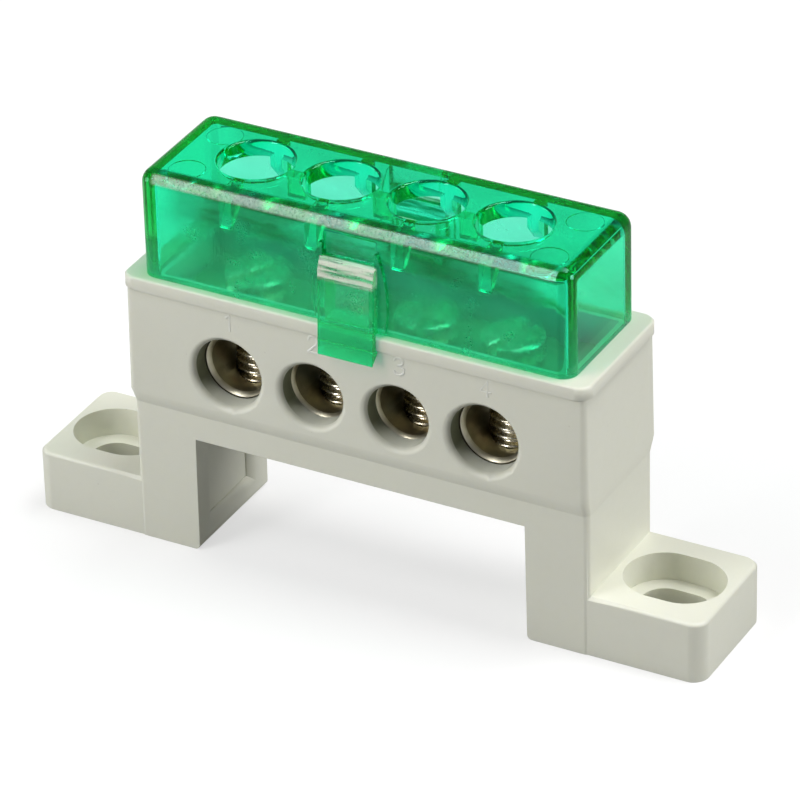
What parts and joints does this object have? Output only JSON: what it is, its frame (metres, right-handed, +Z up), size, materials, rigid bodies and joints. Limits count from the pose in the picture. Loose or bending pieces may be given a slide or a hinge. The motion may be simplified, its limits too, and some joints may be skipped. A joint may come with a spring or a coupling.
{
  "type": "earth terminal bar",
  "caption": "Earth terminal: a cream bridge housing with slotted feet holds a drilled metal bar and slotted clamp screws under a clear green clip cover.",
  "frame": {"origin": "middle of the mounting face, under the feet", "axes": "+X along the row of wire holes, +Z up from the mounting face, the front looks along -Y"},
  "size_m": [0.0816, 0.0192, 0.0463],
  "materials": {
    "housing_plastic": "satin moulded, warm off-white",
    "bar_metal": "plated and drilled",
    "screw_metal": "yellow passivated zinc plate",
    "cover_plastic": "clear green, polished"
  },
  "bodies": {
    "base": {"housing": "housing_plastic", "terminal_bar": "bar_metal", "cover": "cover_plastic"},
    "clamp_screw_1": {"clamp_screw_1": "screw_metal"},
    "clamp_screw_2": {"clamp_screw_2": "screw_metal"},
    "clamp_screw_3": {"clamp_screw_3": "screw_metal"},
    "clamp_screw_4": {"clamp_screw_4": "screw_metal"}
  },
  "joints": [
    {"name": "clamp_screw_1_travel", "type": "slide", "parent": "base", "child": "clamp_screw_1", "axis": [0, 0, 1], "range_m": [0, 0.0075]},
    {"name": "clamp_screw_2_travel", "type": "slide", "parent": "base", "child": "clamp_screw_2", "axis": [0, 0, 1], "range_m": [0, 0.0075]},
    {"name": "clamp_screw_3_travel", "type": "slide", "parent": "base", "child": "clamp_screw_3", "axis": [0, 0, 1], "range_m": [0, 0.0075]},
    {"name": "clamp_screw_4_travel", "type": "slide", "parent": "base", "child": "clamp_screw_4", "axis": [0, 0, 1], "range_m": [0, 0.0075]}
  ]
}
